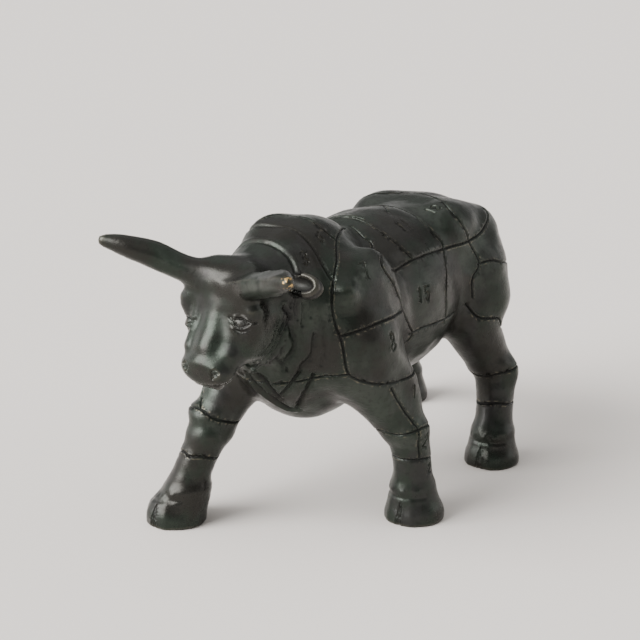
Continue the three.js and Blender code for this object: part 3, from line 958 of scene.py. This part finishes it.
# From nothing to one: how far each place is grooved, on an edge, rounded, hollow, handled, and
# worn bare at the horn's tip.
bulges = bulge(cast, places)
from_face = ((places - HEAD_TOP) @ HEAD_AXES.T - (0, 32, -16)) / (1.15, 1.35, 1)
on_face = 1 - np.clip((np.linalg.norm(from_face, axis=1) - 26) / 14, 0, 1)
low_down = 1 - np.clip((places[:, 2] - 24) / 30, 0, 1)
tip_way = np.linalg.norm(places - on_head((69, 7.4, 31)), axis=1)
# groove: the tooled lines, and every other stroke at less strength, so that folds and creases are
# painted darker as shade
keep(cast_mesh, "groove", np.maximum(tooled / LINE_DEPTH, cut / 2.4))
# edge: the lips of the tooled lines, the laid ridges and the numerals, painted lighter as wear and
# as a painted highlight
keep(cast_mesh, "edge", -tooled / 0.13 + laid / 3 + 1.4 * np.maximum(numbered, 0))
keep(cast_mesh, "rounded", bulges / SHARP)
# hollow: recesses, painted darker as shade and made matte
keep(cast_mesh, "hollow", -bulges / SHARP)
keep(cast_mesh, "handled", np.maximum(low_down, on_face))
keep(cast_mesh, "tip", 1 - (tip_way - 4) / 9)


class Value:
    """What a material's node gives at each place on the surface. Sums and products of values
    add their own Math nodes."""

    def __init__(self, tree, socket):
        self.tree, self.socket = tree, socket

    def make(self, kind, settings, sockets, output=0):
        """Any other node in the same tree: its settings first, and then its sockets."""
        node = self.tree.nodes.new(kind)
        for name, setting in settings.items():
            setattr(node, name, setting)
        for name, value in sockets.items():
            if isinstance(value, Value):
                self.tree.links.new(value.socket, node.inputs[name])
            else:
                node.inputs[name].default_value = value
        return Value(self.tree, node.outputs[output])

    def math(self, operation, a, b):
        return self.make("ShaderNodeMath", {"operation": operation}, {0: a, 1: b})

    def __add__(self, other):
        return self.math("ADD", self, other)

    def __radd__(self, other):
        return self.math("ADD", other, self)

    def __sub__(self, other):
        return self.math("SUBTRACT", self, other)

    def __rsub__(self, other):
        return self.math("SUBTRACT", other, self)

    def __mul__(self, other):
        return self.math("MULTIPLY", self, other)

    def __rmul__(self, other):
        return self.math("MULTIPLY", other, self)

    def step(self, low, high):
        """0 below low, 1 above high, and smooth between them."""
        return self.make(
            "ShaderNodeMapRange",
            {"interpolation_type": "SMOOTHSTEP"},
            {"Value": self, "From Min": low, "From Max": high},
        )

    def tint(self, colour, over):
        """A colour laid over another one, as thick as this value."""
        return self.make("ShaderNodeMix", {"data_type": "RGBA"}, {0: self, 6: over, 7: colour}, 2)


patina = bpy.data.materials.new("patina")
patina.use_nodes = True
shader = patina.node_tree.nodes["Principled BSDF"]
place = Value(patina.node_tree, shader.outputs[0]).make("ShaderNodeTexCoord", {}, {}, 3)


def noise(scale, detail, stretch=(1, 1, 1)):
    """Cloudy values around a half, with so many clouds to the metre."""
    at = place.make("ShaderNodeVectorMath", {"operation": "MULTIPLY"}, {0: place, 1: stretch})
    return place.make(
        "ShaderNodeTexNoise", {}, {"Vector": at, "Scale": scale, "Detail": detail, "Roughness": 0.6}
    )


def kept(name):
    """Values that were kept at the mesh's corners."""
    return place.make("ShaderNodeAttribute", {"attribute_name": name}, {}, 2)


clouds = noise(26, 3)
drift = noise(40, 4, (1, 1, 0.6))
specks = noise(330, 4)
grain = noise(900, 3)
scratches = noise(150, 3, (1, 0.25, 4))
groove = kept("groove")
edge = kept("edge")
rounded = kept("rounded")
hollow = kept("hollow")
handled = kept("handled")
tip = kept("tip")

green = (clouds + 0.6 * (drift - 0.5)).step(0.36, 0.56)
violet = drift.step(0.48, 0.64)
dusty = (clouds + drift - handled).step(1.02, 1.2)
rubbed = (rounded + 0.9 * (specks - 0.5)).step(0.5, 1.05)
# painted highlight along the lips of lines, laid ridges and numerals, on top of their wear
lip_wear_and_highlight = ((edge + 1.2 * (specks - 0.5)) * (1 - groove)).step(0.45, 1.1)
bare = (tip + 3.5 * (specks - 0.5)).step(1.05, 1.3)
# painted shade: darker in folds, creases and hollows, together with the black patina of the tooled
# lines
groove_patina_and_shade = (groove + 0.3 * hollow + 0.5 * (specks - 0.5)).step(0.3, 0.9)

colour = green.tint(GREEN, BROWN)
colour = (0.6 * violet).tint(VIOLET, colour)
colour = (0.7 * dusty).tint(DUSTY_GREEN, colour)
colour = (0.5 * specks.step(0.5, 0.72)).tint(SPECK, colour)
colour = (0.3 * rubbed).tint(RUBBED, colour)
# lay on the lips' wear and painted highlight
colour = (0.6 * lip_wear_and_highlight).tint(LIP_WEAR_AND_HIGHLIGHT, colour)
# lay on the painted shade and the grooves' patina
colour = (0.7 * groove_patina_and_shade).tint(GROOVE_PATINA_AND_SHADE, colour)
colour = bare.tint(BARE_METAL, colour)

uneven = 0.3 * (specks - 0.5) + 0.3 * (drift - 0.5)
roughness = 0.35 + uneven + 0.3 * groove_patina_and_shade + 0.25 * hollow - 0.05 * handled
height = (0.6 * grain + 0.8 * specks + 0.5 * scratches) * (1 - 0.45 * handled)
relief = place.make("ShaderNodeBump", {}, {"Height": height, "Strength": 0.5, "Distance": 0.0004})
for name, value in (("Base Color", colour), ("Roughness", roughness), ("Normal", relief)):
    patina.node_tree.links.new(value.socket, shader.inputs[name])
shader.inputs["Metallic"].default_value = 0.6
shader.inputs["IOR"].default_value = 1.33
shader.inputs["Coat Weight"].default_value = 0.12
shader.inputs["Coat Roughness"].default_value = 0.22
cast_mesh.materials.append(patina)

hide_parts("bull")
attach(bull, "root")

# Studio
# A pale warm-grey floor under the even light of a white room, brighter overhead and low down
# all round. The main light is a large soft window high in front of the bull, with a weak one
# behind it to its left and a pale wall to its right.

PAPER = (0.745, 0.705, 0.673, 1)
FLOOR = 40  # metres from the middle to each side

floor_mesh = bpy.data.meshes.new("floor")
floor_mesh.from_pydata(
    [(-FLOOR, -FLOOR, 0), (FLOOR, -FLOOR, 0), (FLOOR, FLOOR, 0), (-FLOOR, FLOOR, 0)],
    [],
    [(0, 1, 2, 3)],
)
floor = bpy.data.objects.new("floor", floor_mesh)
paper = bpy.data.materials.new("paper")
paper.use_nodes = True
surface = paper.node_tree.nodes["Principled BSDF"]
surface.inputs["Base Color"].default_value = PAPER
surface.inputs["Roughness"].default_value = 0.9
surface.inputs["Specular IOR Level"].default_value = 0.1
floor_mesh.materials.append(paper)
bpy.context.scene.collection.objects.link(floor)

world = bpy.data.worlds.new("room")
world.use_nodes = True
bpy.context.scene.world = world
light = world.node_tree.nodes["Background"]
light.inputs["Color"].default_value = (1, 0.985, 0.965, 1)
look = Value(world.node_tree, light.outputs[0]).make("ShaderNodeTexCoord", {}, {}, 0)


def patch(way, inner, outer):
    """A soft round patch of the room in the given way: 1 inside one angle, 0 outside another."""
    way = Vector(way).normalized()
    facing = look.make("ShaderNodeVectorMath", {"operation": "DOT_PRODUCT"}, {0: look, 1: way}, 1)
    return facing.step(float(np.cos(np.radians(outer))), float(np.cos(np.radians(inner))))


ceiling = patch((0, 0, 1), 25, 75)
window = patch((-0.42, -0.75, 0.5), 11, 31)
second_window = patch((0.75, 0.6, 0.35), 10, 26)
wall = patch((-0.9, -0.4, 0.2), 12, 45)
horizon = patch((0, 0, -1), 99, 107)
even = 0.1 + 0.85 * horizon + 0.9 * ceiling
strength = even + 16 * window + 1.5 * second_window + 1.5 * wall
world.node_tree.links.new(strength.socket, light.inputs["Strength"])
